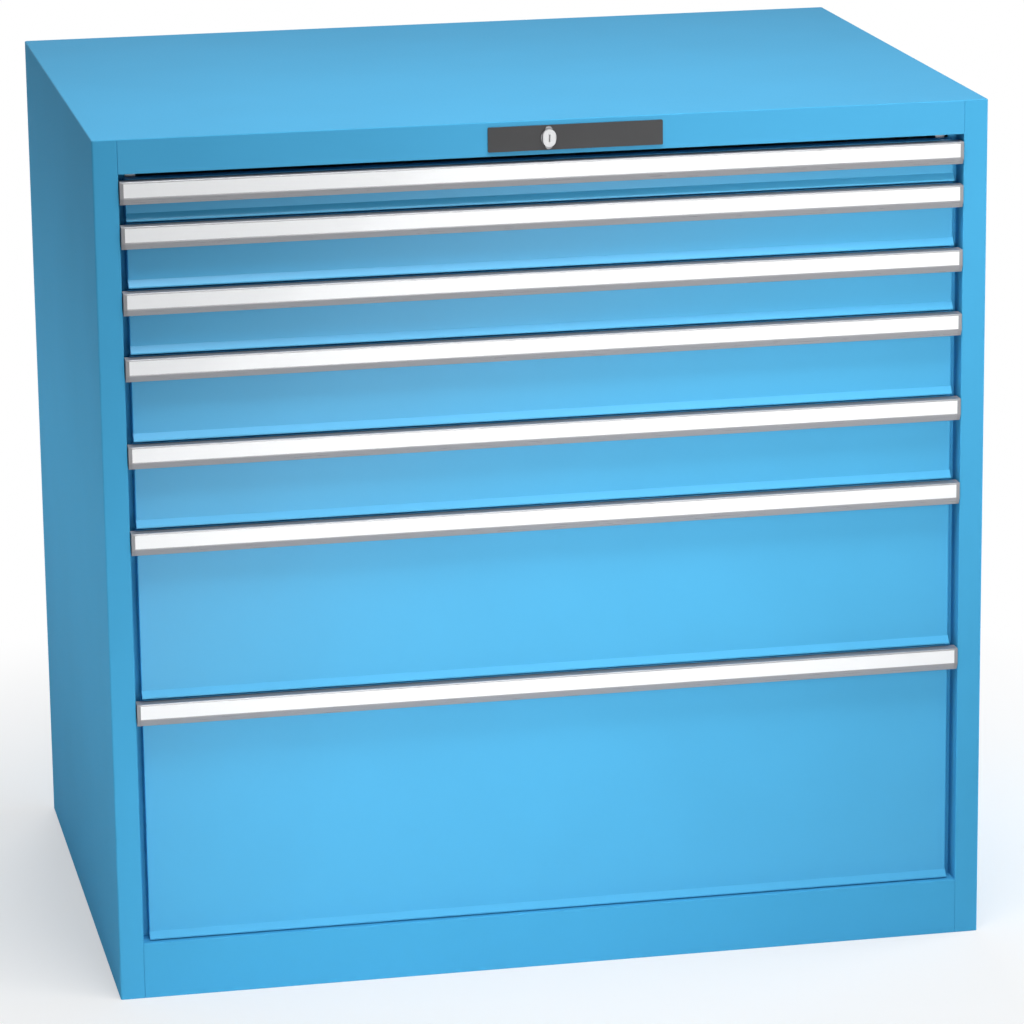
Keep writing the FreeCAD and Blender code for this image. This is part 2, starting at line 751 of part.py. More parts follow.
def lock_bezel():
    """Lock barrel through the cover and the rail, with a slim upright plate at its front."""
    body = new_body("lock_bezel")
    centre = ("0", lock_level)
    cover_face = f"(-{front_plane} + cover_thickness)"
    plate = obround(body, "XZ_Plane", centre, "bezel_width", "bezel_height", cover_face)
    grow(body, plate, "bezel_thickness")
    ring = circle(body, "XZ_Plane", centre, "barrel_radius", f"{cover_face} + bezel_thickness")
    grow(body, ring, "bezel_thickness + cover_thickness + barrel_length", backwards=True)
    past = f"{cover_face} + bezel_thickness + 1"
    bore = circle(body, "XZ_Plane", centre, "plug_radius + turning_gap", past)
    cut(body, bore, "bezel_thickness + cover_thickness + barrel_length + 2")
    return body


def lock_cylinder():
    """Turning part: a flat grip with a key slot, the plug, and the eccentric pin at its rear."""
    body = new_body("lock_cylinder")
    centre = ("0", lock_level)
    bezel_face = f"(-{front_plane} + cover_thickness + bezel_thickness)"
    knob_back = f"({bezel_face} + turning_gap)"
    knob = obround(body, "XZ_Plane", centre, "knob_width", "knob_height", knob_back)
    grow(body, knob, "knob_thickness")
    shaft = circle(body, "XZ_Plane", centre, "plug_radius", knob_back)
    tail = f"({knob_back} - ({bezel_face} - bezel_thickness - cover_thickness - barrel_length) + plug_tail)"
    grow(body, shaft, tail, backwards=True)
    plug_end = f"({knob_back} - {tail})"
    pin = circle(body, "XZ_Plane", (pin_offset, f"{lock_level} + {pin_offset}"), "pin_radius", plug_end)
    pin_length = f"({plug_end} + {lock_bar_face} + lock_bar_sheet + lock_bar_gap)"
    grow(body, pin, pin_length, backwards=True)
    low = ("-key_slot_width / 2", f"{lock_level} - key_slot_height / 2")
    high = ("key_slot_width / 2", f"{lock_level} + key_slot_height / 2")
    slot = polygons(body, "XZ_Plane", [rectangle(low, high)], f"{knob_back} + knob_thickness")
    cut(body, slot, "key_slot_depth")
    return body


def locking_bar():
    """Upright bar behind the right post, an arm plate across to the lock, and a finger for each drawer."""
    arm = new_body("lock_arm")
    middle = f"({lock_level} + {pin_offset})"
    top = f"({middle} + lock_arm_height / 2)"
    inner = f"({lock_bar_outer} - lock_bar_sheet)"
    outline = rectangle(("-lock_arm_end", f"{middle} - lock_arm_height / 2"), (inner, top))
    plate = polygons(arm, "XZ_Plane", [outline], f"-({lock_bar_face} + lock_bar_sheet)")
    grow(arm, plate, "lock_bar_sheet")
    room = "(pin_radius + pin_gap)"
    slot_low = (f"{pin_offset} - {room}", f"{middle} - {room}")
    slot_high = (f"{pin_offset} + {pin_sweep} + {room}", f"{middle} + {room}")
    slot = polygons(arm, "XZ_Plane", [rectangle(slot_low, slot_high)], f"-({lock_bar_face} - 1)")
    cut(arm, slot, "lock_bar_sheet + 2")
    foot = f"({rail_bottom(DRAWERS[-1])} + slide_height / 2)"
    corner = (inner, lock_bar_face, foot)
    upright = block("lock_upright", corner, "lock_bar_sheet", "lock_bar_width", f"{top} - {foot}")
    pieces = [arm, upright]
    for drawer in DRAWERS:
        bottom = f"{rail_bottom(drawer)} + slide_height + catch_gap + lock_travel"
        corner = (f"{inner} - finger_reach", lock_bar_face, bottom)
        pieces.append(block(f"finger_{drawer}", corner, "finger_reach", "lock_bar_sheet", "finger_height"))
    return group("locking_bar", pieces)


def build():
    right = right_side_panel()
    nodes = [right, mirrored(right, "left_side_panel"), top_panel(), base_panel(), back_panel()]
    nodes += [slotted_uprights(), cabinet_rails()]
    nodes += [lock_cover(), lock_bezel(), lock_cylinder(), locking_bar()]
    for drawer in DRAWERS:
        nodes += [tray(drawer), front(drawer), handle(drawer), label_strip(drawer), end_caps(drawer)]
        nodes += [drawer_rails(drawer), carriage(drawer)]
    return nodes


def write(nodes):
    """Check every object of the document, then write one file for each node."""
    document.recompute()
    for thing in document.Objects:
        if "Invalid" in thing.State or "Error" in thing.State:
            raise RuntimeError(f"{thing.Label} failed")
    for node in nodes:
        if node.Shape.isNull() or not node.Shape.isValid():
            raise RuntimeError(f"{node.Label} has no valid shape")
    os.makedirs("parts", exist_ok=True)
    for node in nodes:
        node.Shape.exportStep(f"parts/{node.Label}.step")
    print(f"{len(nodes)} nodes written")


write(build())
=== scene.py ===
"""Modular drawer cabinet: its finishes, its fine fittings and a plain studio."""

import json
import math
from typing import NamedTuple

import bmesh
import bpy
from bpy.props import FloatProperty, FloatVectorProperty, IntProperty, PointerProperty
from mathutils import Matrix, Vector

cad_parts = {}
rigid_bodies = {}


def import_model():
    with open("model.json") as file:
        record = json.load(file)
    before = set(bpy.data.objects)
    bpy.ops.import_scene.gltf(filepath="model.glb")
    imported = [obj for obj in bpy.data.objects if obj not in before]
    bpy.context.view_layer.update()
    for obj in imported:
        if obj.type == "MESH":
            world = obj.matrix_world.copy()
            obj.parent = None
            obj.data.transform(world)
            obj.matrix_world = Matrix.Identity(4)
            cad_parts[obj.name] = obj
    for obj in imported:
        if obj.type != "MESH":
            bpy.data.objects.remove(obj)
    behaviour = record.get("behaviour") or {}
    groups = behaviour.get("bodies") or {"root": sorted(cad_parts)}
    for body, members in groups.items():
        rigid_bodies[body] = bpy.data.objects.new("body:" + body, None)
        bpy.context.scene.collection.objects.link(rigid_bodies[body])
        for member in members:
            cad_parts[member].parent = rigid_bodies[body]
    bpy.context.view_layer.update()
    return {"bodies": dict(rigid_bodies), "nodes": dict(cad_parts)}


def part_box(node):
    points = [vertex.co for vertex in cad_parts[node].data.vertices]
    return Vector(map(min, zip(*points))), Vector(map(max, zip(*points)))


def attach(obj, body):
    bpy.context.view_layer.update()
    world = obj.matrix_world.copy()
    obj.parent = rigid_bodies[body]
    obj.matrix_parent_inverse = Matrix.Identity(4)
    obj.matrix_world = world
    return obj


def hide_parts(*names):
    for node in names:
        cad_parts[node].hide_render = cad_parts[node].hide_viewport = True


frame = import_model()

bl_info = {
    "name": "Drawer Cabinet",
    "version": (1, 0, 0),
    "blender": (4, 5, 0),
    "location": "View3D > Sidebar > Cabinet",
    "description": "Finishes and fine fittings of a modular drawer cabinet",
    "category": "Object",
}

MM = 0.001
DRAWERS = sorted(int(name.split("_")[1]) for name in frame["bodies"] if name.startswith("drawer_"))


def card(red, green, blue):
    """A colour from a colour card, given in bytes, as linear light."""

    def linear(byte):
        share = byte / 255
        if share <= 0.04045:
            return share / 12.92
        return ((share + 0.055) / 1.055) ** 2.4

    return linear(red), linear(green), linear(blue)


# What a user would change


def colour(name, description, default):
    return FloatVectorProperty(
        name=name, description=description, default=default, subtype="COLOR", size=3, min=0, max=1
    )


def length(name, description, millimetres):
    return FloatProperty(name=name, description=description, default=millimetres * MM, unit="LENGTH")


def angle(name, description, degrees):
    return FloatProperty(name=name, description=description, default=math.radians(degrees), subtype="ANGLE")


def strength(name, description, default):
    return FloatProperty(name=name, description=description, default=default, min=0)


class CabinetColours(bpy.types.PropertyGroup):
    """Colours of the cabinet's finishes."""

    housing: colour("Housing", "Powder coat of the housing", card(75, 170, 217))
    # The fronts have the housing's paint. Their tint is a touch lighter only as painted light, for the
    # brighter shade the fronts show.
    fronts: colour("Fronts", "Powder coat of the drawer fronts", card(77, 175, 223))
    trays: colour("Trays", "Powder coat of the drawers' insides", card(196, 201, 203))
    zinc: colour("Zinc", "Galvanised uprights and rails", card(186, 190, 194))
    slides: colour("Slides", "Plated steel of the slides", card(176, 180, 186))
    rollers: colour("Rollers", "Running faces of the rollers", card(60, 62, 66))
    aluminium: colour("Aluminium", "Anodised handle bars", card(160, 160, 163))
    labels: colour("Labels", "Paper in the handle bars", card(246, 247, 248))
    caps: colour("Caps", "End caps of the handles", card(150, 150, 153))
    cover: colour("Cover", "Lock cover strip", card(64, 64, 65))
    bezel: colour("Bezel", "Satin metal round the lock", card(118, 119, 121))
    lock: colour("Lock", "Satin metal of the lock's grip", card(180, 181, 182))


class CabinetFittings(bpy.types.PropertyGroup):
    """Sizes of the fittings that repeat."""

    slot_pitch: length("Slot pitch", "Distance between the slots of a tray wall", 17.0)
    slot_row: length("Slot rows", "Distance between two rows of slots", 25.0)
    slot_width: length("Slot width", "Width of a tray slot", 3.4)
    slot_height: length("Slot height", "Height of a tray slot", 13.0)
    tray_sheet: length("Tray sheet", "Thickness of the tray's sheet", 1.0)
    tray_hem: length("Tray hem", "Height of the hem round the tray's mouth", 8.0)
    tray_bend: length("Tray bend", "Outer radius of the tray's bends", 1.6)
    rivet_radius: length("Rivet radius", "Radius of a rivet head", 3.2)
    rivet_rise: length("Rivet rise", "Height of a rivet head", 0.55)
    weld_radius: length("Weld radius", "Radius of a spot weld's mark", 3.0)
    weld_rise: length("Weld rise", "Height of a spot weld's mark", 0.25)
    weld_step: length("Weld step", "Distance between two spot welds", 75.0)
    weld_edge: length("Weld edge", "Distance of the spot welds from the sheet's edge", 12.0)
    roller_width: length("Roller width", "Width of the rollers outside the carriage's bar", 10.0)
    bar_sheet: length("Bar sheet", "Thickness of the carriage's bar", 2.0)
    first_axle: length("First axle", "From the front of the carriage's bar to its first roller", 15.0)
    axle_step: length("Axle step", "From the first roller to the second", 235.0)
    head_sides: IntProperty(name="Head sides", description="Sides of a small round head", default=14)


class CabinetStudio(bpy.types.PropertyGroup):
    """Camera and lamps."""

    lens: FloatProperty(name="Lens", description="Focal length in millimetres", default=165.6)
    yaw: angle("Yaw", "Turn to the right", 11.29)
    pitch: angle("Pitch", "Tilt downwards", 14.67)
    roll: angle("Roll", "Turn about the view", -0.70)
    station: FloatVectorProperty(
        name="Station",
        description="Place of the camera",
        default=(-1.062, -5.449, 1.908),
        subtype="TRANSLATION",
    )
    daylight: strength("Daylight", "Strength of the surrounding light", 0.22)
    front_lamp: strength("Front lamp", "Slanted soft box before the fronts", 3.2)
    top_lamp: strength("Top lamp", "Soft box above and before", 16.0)
    side_lamp: strength("Side lamp", "Weak soft box at the left", 1.05)
    fill_lamp: strength("Fill lamp", "Weak soft box beside the camera", 1.3)
    rear_lamps: strength("Rear lamps", "Soft boxes behind and at the right", 15.0)
    floor_radius: length("Floor radius", "Size of the floor", 9000.0)


class SoftBox(NamedTuple):
    """A lamp with its size, place and target in metres, and its spread and slant in degrees."""

    name: str
    power: str
    size: tuple
    place: tuple
    target: tuple
    spread: float
    slant: float = 0.0


SOFT_BOXES = (
    SoftBox("front_soft_box", "front_lamp", (2.3, 0.3), (0.06, -1.5, 0.54), (0.08, -0.36, 0.5), 75, 42),
    SoftBox("top_soft_box", "top_lamp", (1.6, 0.5), (0.10, -1.0, 2.75), (0.0, -0.05, 0.8), 110),
    SoftBox("side_soft_box", "side_lamp", (1.6, 0.25), (-1.7, 0.0, 0.55), (-0.5, 0.0, 0.5), 60),
    SoftBox("fill_soft_box", "fill_lamp", (1.0, 1.0), (0.1, -3.2, 0.9), (0.15, -0.36, 0.45), 60),
    SoftBox("rear_soft_box", "rear_lamps", (1.4, 0.8), (0.2, 2.6, 0.6), (0.0, 0.36, 0.5), 100),
    SoftBox("right_soft_box", "rear_lamps", (1.2, 0.8), (2.7, 0.2, 0.6), (0.5, 0.0, 0.5), 100),
)


# Materials


class Finish:
    """A material under construction. Its textures read the object's own coordinates, in metres."""

    def __init__(self, name, tint, metallic=0.0, shine=0.5, coat=0.0, coat_roughness=0.08):
        self.material = bpy.data.materials.new(name)
        self.material.use_nodes = True
        self.tree = self.material.node_tree
        self.surface = self.tree.nodes["Principled BSDF"]
        self.surface.inputs["Metallic"].default_value = metallic
        self.surface.inputs["Specular IOR Level"].default_value = shine
        self.surface.inputs["Coat Weight"].default_value = coat
        self.surface.inputs["Coat Roughness"].default_value = coat_roughness
        self.tint = tint
        self.place = self.tree.nodes.new("ShaderNodeTexCoord").outputs["Object"]

    def node(self, kind, inputs, **settings):
        made = self.tree.nodes.new(kind)
        for name, setting in settings.items():
            setattr(made, name, setting)
        for name, value in inputs.items():
            if isinstance(value, bpy.types.NodeSocket):
                self.tree.links.new(value, made.inputs[name])
            else:
                made.inputs[name].default_value = value
        return made

    def stretched(self, stretch):
        """The object's coordinates, drawn out along its axes."""
        return self.node("ShaderNodeMapping", {"Vector": self.place, "Scale": stretch}).outputs[0]

    def noise(self, per_metre, detail=2.0, stretch=(1, 1, 1)):
        inputs = {"Vector": self.stretched(stretch), "Scale": per_metre, "Detail": detail}
        return self.node("ShaderNodeTexNoise", inputs).outputs[0]

    def spread(self, value, low, high, start=0.3, end=0.7):
        inputs = {"Value": value, "From Min": start, "From Max": end, "To Min": low, "To Max": high}
        return self.node("ShaderNodeMapRange", inputs).outputs[0]

    def cloud(self, value, change):
        """Lightens and darkens the tint by a share, where the value is high or low."""
        shades = [tuple(part * (1 + sign * change) for part in self.tint) + (1,) for sign in (-1, 1)]
        mix = self.tree.nodes.new("ShaderNodeMix")
        mix.data_type = "RGBA"
        colours = [socket for socket in mix.inputs if socket.type == "RGBA"]
        colours[0].default_value, colours[1].default_value = shades
        self.tree.links.new(self.spread(value, 0, 1), mix.inputs["Factor"])
        result = next(socket for socket in mix.outputs if socket.type == "RGBA")
        self.tree.links.new(result, self.surface.inputs["Base Color"])

    def gloss(self, value, low, high):
        self.tree.links.new(self.spread(value, low, high), self.surface.inputs["Roughness"])

    def relief(self, value, depth, edge=0.0):
        """A bump of the given depth, over edges softened to a radius."""
        inputs = {"Height": value, "Distance": depth, "Strength": 1.0}
        if edge:
            inputs["Normal"] = self.node("ShaderNodeBevel", {"Radius": edge}, samples=4).outputs[0]
        bump = self.node("ShaderNodeBump", inputs)
        self.tree.links.new(bump.outputs[0], self.surface.inputs["Normal"])


def powder_coat(name, tint, shine=0.02, low=0.56, high=0.66, coat=0.0):
    """Fine orange peel, slight clouds in the film, and edges that the film rounds."""
    finish = Finish(name, tint, shine=shine, coat=coat, coat_roughness=0.28)
    finish.cloud(finish.noise(per_metre=6, detail=4), 0.02)
    finish.gloss(finish.noise(per_metre=450, detail=3), low, high)
    finish.relief(finish.noise(per_metre=520), 0.02 * MM, edge=0.8 * MM)
    return finish.material


def galvanised(name, tint):
    """Zinc crystals a few millimetres wide, each with its own shade."""
    finish = Finish(name, tint, metallic=1.0)
    crystals = finish.node("ShaderNodeTexVoronoi", {"Vector": finish.place, "Scale": 150})
    shade = finish.node("ShaderNodeSeparateColor", {"Color": crystals.outputs["Color"]}).outputs[0]
    finish.cloud(finish.spread(shade, 0.3, 0.7, start=0, end=1), 0.10)
    finish.gloss(shade, 0.34, 0.46)
    finish.relief(finish.noise(per_metre=900), 0.01 * MM, edge=0.4 * MM)
    return finish.material


def drawn_metal(name, tint, along, metallic=1.0):
    """Faint drawing marks along the metal's length, which runs along one axis."""
    finish = Finish(name, tint, metallic=metallic)
    stretch = tuple(0.02 if axis == along else 1.0 for axis in range(3))
    marks = finish.noise(per_metre=1400, detail=3, stretch=stretch)
    finish.cloud(finish.noise(per_metre=30, detail=3, stretch=stretch), 0.05)
    finish.gloss(marks, 0.26, 0.38)
    finish.relief(marks, 0.006 * MM, edge=0.4 * MM)
    return finish.material


def moulded(name, tint, low=0.42, high=0.54):
    """Plastic with the fine grain of its mould."""
    finish = Finish(name, tint, shine=0.2)
    finish.cloud(finish.noise(per_metre=40, detail=3), 0.03)
    grain = finish.noise(per_metre=2600)
    finish.gloss(grain, low, high)
    finish.relief(grain, 0.012 * MM, edge=0.4 * MM)
    return finish.material


def paper_under_cover(name, tint):
    """Matt paper fibres below a clear strip."""
    finish = Finish(name, tint, coat=0.35)
    fibres = finish.noise(per_metre=1800, detail=4, stretch=(0.4, 1, 1))
    finish.cloud(fibres, 0.012)
    finish.gloss(fibres, 0.55, 0.68)
    finish.relief(fibres, 0.004 * MM, edge=0.3 * MM)
    return finish.material


def satin_metal(name, tint, metallic):
    """Blasted and plated, with a fine even grain."""
    finish = Finish(name, tint, metallic=metallic)
    grain = finish.noise(per_metre=3200)
    finish.cloud(finish.noise(per_metre=200, detail=3), 0.03)
    finish.gloss(grain, 0.30, 0.40)
    finish.relief(grain, 0.008 * MM, edge=0.35 * MM)
    return finish.material


def finish_node(name, material):
    """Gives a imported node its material."""
    mesh = frame["nodes"][name].data
    mesh.materials.clear()
    mesh.materials.append(material)


# Geometry nodes


class Tree:
    """A geometry node tree under construction, with named inputs."""

    def __init__(self, name, inputs):
        self.group = bpy.data.node_groups.new(name, "GeometryNodeTree")
        self.identifiers = {}
        for label, kind in {"Geometry": "NodeSocketGeometry", **inputs}.items():
            socket = self.group.interface.new_socket(name=label, in_out="INPUT", socket_type=kind)
            self.identifiers[label] = socket.identifier
        self.group.interface.new_socket(name="Result", in_out="OUTPUT", socket_type="NodeSocketGeometry")
        self.inputs = self.group.nodes.new("NodeGroupInput").outputs
        self.exit = self.group.nodes.new("NodeGroupOutput").inputs[0]

    def node(self, kind, inputs, **settings):
        made = self.group.nodes.new(kind)
        for name, setting in settings.items():
            setattr(made, name, setting)
        for name, value in inputs.items():
            for source in value if isinstance(value, list) else [value]:
                if isinstance(source, bpy.types.NodeSocket):
                    self.group.links.new(source, made.inputs[name])
                else:
                    made.inputs[name].default_value = source
        return made.outputs[0]

    def sum(self, operation, first, second):
        return self.node("ShaderNodeMath", {0: first, 1: second}, operation=operation)

    def vector(self, across=0.0, along=0.0, up=0.0):
        return self.node("ShaderNodeCombineXYZ", {"X": across, "Y": along, "Z": up})

    def line(self, count, step, along_y=False):
        """Points in a row, centred on the origin."""
        start = self.sum("MULTIPLY", self.sum("MULTIPLY", self.sum("SUBTRACT", count, 1.0), step), -0.5)
        places = [self.vector(0.0, part) if along_y else self.vector(part) for part in (start, step)]
        inputs = {"Count": count, "Start Location": places[0], "Offset": places[1]}
        return self.node("GeometryNodeMeshLine", inputs, mode="OFFSET")

    def moved(self, geometry, place, turn=(0.0, 0.0, 0.0)):
        inputs = {"Geometry": geometry, "Translation": place, "Rotation": turn}
        return self.node("GeometryNodeTransform", inputs)

    def finish(self, geometry):
        solid = self.node("GeometryNodeRealizeInstances", {"Geometry": geometry})
        inputs = {"Geometry": solid, "Material": self.inputs["Material"]}
        self.group.links.new(self.node("GeometryNodeSetMaterial", inputs), self.exit)
        return self


def run_tree(tree, name, points, values):
    """A new object with the plain mesh that a tree makes from some points."""
    seed = bpy.data.meshes.new(name)
    seed.from_pydata(points, [], [])
    piece = bpy.data.objects.new(name, seed)
    bpy.context.scene.collection.objects.link(piece)
    modifier = piece.modifiers.new("Nodes", "NODES")
    modifier.node_group = tree.group
    for label, value in values.items():
        modifier[tree.identifiers[label]] = value
    graph = bpy.context.evaluated_depsgraph_get()
    mesh = bpy.data.meshes.new_from_object(piece.evaluated_get(graph))
    piece.modifiers.remove(modifier)
    piece.data = mesh
    if not mesh.polygons:
        raise RuntimeError(f"the tree made nothing for {name}")
    return piece


def slotted_sheet(tree, width, columns):
    """A sheet in the XY plane with rows of upright slots, and its thickness along +Z."""
    slot = tree.node(
        "GeometryNodeCurvePrimitiveQuadrilateral",
        {"Width": tree.inputs["Slot width"], "Height": tree.inputs["Slot height"]},
    )
    round_end = tree.sum("MULTIPLY", tree.inputs["Slot width"], 0.49)
    rounded = {"Curve": slot, "Count": 2, "Radius": round_end}
    slot = tree.node("GeometryNodeFilletCurve", rounded, mode="POLY")
    row = tree.line(columns, tree.inputs["Slot pitch"])
    row = tree.node("GeometryNodeInstanceOnPoints", {"Points": row, "Instance": slot})
    rows = tree.line(tree.inputs["Rows"], tree.inputs["Slot row"], along_y=True)
    rows = tree.node("GeometryNodeInstanceOnPoints", {"Points": rows, "Instance": row})
    rows = tree.node("GeometryNodeRealizeInstances", {"Geometry": rows})
    edge = tree.node(
        "GeometryNodeCurvePrimitiveQuadrilateral", {"Width": width, "Height": tree.inputs["Band height"]}
    )
    outlines = tree.node("GeometryNodeJoinGeometry", {"Geometry": [rows, edge]})
    face = tree.node("GeometryNodeFillCurve", {"Curve": outlines}, mode="TRIANGLES")
    inputs = {"Mesh": face, "Offset Scale": tree.inputs["Sheet"], "Individual": False}
    raised = tree.node("GeometryNodeExtrudeMesh", inputs, mode="FACES")
    underside = tree.node("GeometryNodeFlipFaces", {"Mesh": face})
    both = tree.node("GeometryNodeJoinGeometry", {"Geometry": [raised, underside]})
    return tree.node("GeometryNodeMergeByDistance", {"Geometry": both, "Distance": 0.01 * MM})


def tray_walls_tree():
    """Four slotted walls that stand round a tray's floor."""
    numbers = ("Slot width", "Slot height", "Slot pitch", "Slot row", "Sheet", "Band height")
    places = ("Half width", "Front", "Rear", "Middle height")
    inputs = {label: "NodeSocketFloat" for label in numbers + places}
    inputs |= {"Columns": "NodeSocketInt", "Side columns": "NodeSocketInt", "Rows": "NodeSocketInt"}
    tree = Tree("Tray walls", inputs | {"Material": "NodeSocketMaterial"})
    given = tree.inputs
    sheet, up = given["Sheet"], given["Middle height"]
    depth = tree.sum("SUBTRACT", given["Rear"], given["Front"])
    middle = tree.sum("MULTIPLY", tree.sum("ADD", given["Rear"], given["Front"]), 0.5)
    clear = tree.sum("SUBTRACT", given["Half width"], sheet)
    across = slotted_sheet(tree, tree.sum("MULTIPLY", clear, 2.0), given["Columns"])
    along = slotted_sheet(tree, depth, given["Side columns"])
    upright = (math.pi / 2, 0.0, 0.0)
    sideways = (math.pi / 2, 0.0, math.pi / 2)
    left = tree.sum("MULTIPLY", given["Half width"], -1.0)
    walls = [
        tree.moved(across, tree.vector(0.0, given["Rear"], up), upright),
        tree.moved(across, tree.vector(0.0, tree.sum("ADD", given["Front"], sheet), up), upright),
        tree.moved(along, tree.vector(left, middle, up), sideways),
        tree.moved(along, tree.vector(clear, middle, up), sideways),
    ]
    return tree.finish(tree.node("GeometryNodeJoinGeometry", {"Geometry": walls}))


def button_heads_tree():
    """A low domed head on each point, all facing one way."""
    inputs = {"Radius": "NodeSocketFloat", "Rise": "NodeSocketFloat", "Sides": "NodeSocketInt"}
    inputs |= {"Facing": "NodeSocketVector", "Material": "NodeSocketMaterial"}
    tree = Tree("Button heads", inputs)
    given = tree.inputs
    # Three rings of the dome: the radius below, the radius above and the height, as shares
    rings = ((1.0, 0.86, 0.5), (0.86, 0.5, 0.36), (0.5, 0.16, 0.14))
    parts = []
    height = 0.0
    for bottom, top, share in rings:
        cone = {
            "Vertices": given["Sides"],
            "Radius Bottom": tree.sum("MULTIPLY", given["Radius"], bottom),
            "Radius Top": tree.sum("MULTIPLY", given["Radius"], top),
            "Depth": tree.sum("MULTIPLY", given["Rise"], share),
        }
        part = tree.node("GeometryNodeMeshCone", cone, fill_type="NGON")
        parts.append(tree.moved(part, tree.vector(up=tree.sum("MULTIPLY", given["Rise"], height))))
        height += share
    head = tree.node("GeometryNodeJoinGeometry", {"Geometry": parts})
    turn = tree.node("FunctionNodeAlignRotationToVector", {"Vector": given["Facing"]}, axis="Z")
    inputs = {"Points": given["Geometry"], "Instance": head, "Rotation": turn}
    return tree.finish(tree.node("GeometryNodeInstanceOnPoints", inputs))


# Meshes


def solid_from_rings(name, rings, material, closed):
    """A solid skinned over rings of four corners. Its two ends are capped unless it closes on itself."""
    shape = bmesh.new()
    corners = [[shape.verts.new(place) for place in ring] for ring in rings]
    pairs = list(zip(corners, corners[1:]))
    if closed:
        pairs.append((corners[-1], corners[0]))
    for lower, upper in pairs:
        for side in range(4):
            following = (side + 1) % 4
            shape.faces.new((lower[side], lower[following], upper[following], upper[side]))
    if not closed:
        shape.faces.new(corners[0])
        shape.faces.new(corners[-1])
    bmesh.ops.recalc_face_normals(shape, faces=shape.faces)
    mesh = bpy.data.meshes.new(name)
    shape.to_mesh(mesh)
    shape.free()
    mesh.materials.append(material)
    piece = bpy.data.objects.new(name, mesh)
    bpy.context.scene.collection.objects.link(piece)
    return piece


def framed(low, high, profile):
    """Rings round a box, each at an inset from its walls and a height."""
    rings = []
    for inset, up in profile:
        left, right = low.x + inset, high.x - inset
        front, rear = low.y + inset, high.y - inset
        rings.append([(left, front, up), (right, front, up), (right, rear, up), (left, rear, up)])
    return rings


# Operators


class CabinetOperator(bpy.types.Operator):
    """Base of the cabinet's operators."""

    bl_options = {"INTERNAL"}

    @property
    def colours(self):
        return bpy.context.scene.cabinet_colours

    @property
    def fittings(self):
        return bpy.context.scene.cabinet_fittings


class CABINET_OT_paint_housing(CabinetOperator):
    """Powder coat the housing's sheets."""

    bl_idname = "cabinet.paint_housing"
    bl_label = "Paint the housing"

    def execute(self, context):
        coat = powder_coat("housing_powder_coat", self.colours.housing)
        for name in ("left_side_panel", "right_side_panel", "base_panel", "back_panel"):
            finish_node(name, coat)
        finish_node("top_panel", powder_coat("top_powder_coat", self.colours.housing, shine=0.12))
        self.mark_welds(coat)
        return {"FINISHED"}

    def mark_welds(self, coat):
        """Spot welds along the back panel's edges, where it lies on the rear flanges."""
        low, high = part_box("back_panel")
        size = self.fittings
        first = low.z + 2 * size.weld_edge
        run = high.z - low.z - 4 * size.weld_edge
        count = int(run / size.weld_step)
        places = []
        for across in (low.x + size.weld_edge, high.x - size.weld_edge):
            for number in range(count + 1):
                places.append((across, high.y, first + number * run / count))
        values = {
            "Radius": size.weld_radius,
            "Rise": size.weld_rise,
            "Sides": size.head_sides,
            "Facing": (0, 1, 0),
            "Material": coat,
        }
        welds = run_tree(button_heads_tree(), "back_panel_welds", places, values)
        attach(welds, "housing")


class CABINET_OT_paint_fronts(CabinetOperator):
    """Powder coat the drawer fronts."""

    bl_idname = "cabinet.paint_fronts"
    bl_label = "Paint the fronts"

    def execute(self, context):
        # Painted light: this tint is the housing's blue made a touch lighter, for the brighter shade the
        # fronts show.
        tint = self.colours.fronts
        coat = powder_coat("front_powder_coat", tint, shine=0.15, low=0.40, high=0.48, coat=0.25)
        for number in DRAWERS:
            finish_node(f"drawer_{number}_front", coat)
        return {"FINISHED"}


class CABINET_OT_finish_handles(CabinetOperator):
    """Anodise the handle bars, mould their caps and slide the labels in."""

    bl_idname = "cabinet.finish_handles"
    bl_label = "Finish the handles"

    def execute(self, context):
        bar = drawn_metal("anodised_aluminium", self.colours.aluminium, along=0, metallic=0.4)
        cap = moulded("grey_cap_plastic", self.colours.caps)
        label = paper_under_cover("label_paper", self.colours.labels)
        for number in DRAWERS:
            finish_node(f"drawer_{number}_handle", bar)
            finish_node(f"drawer_{number}_end_caps", cap)
            finish_node(f"drawer_{number}_label_strip", label)
        return {"FINISHED"}


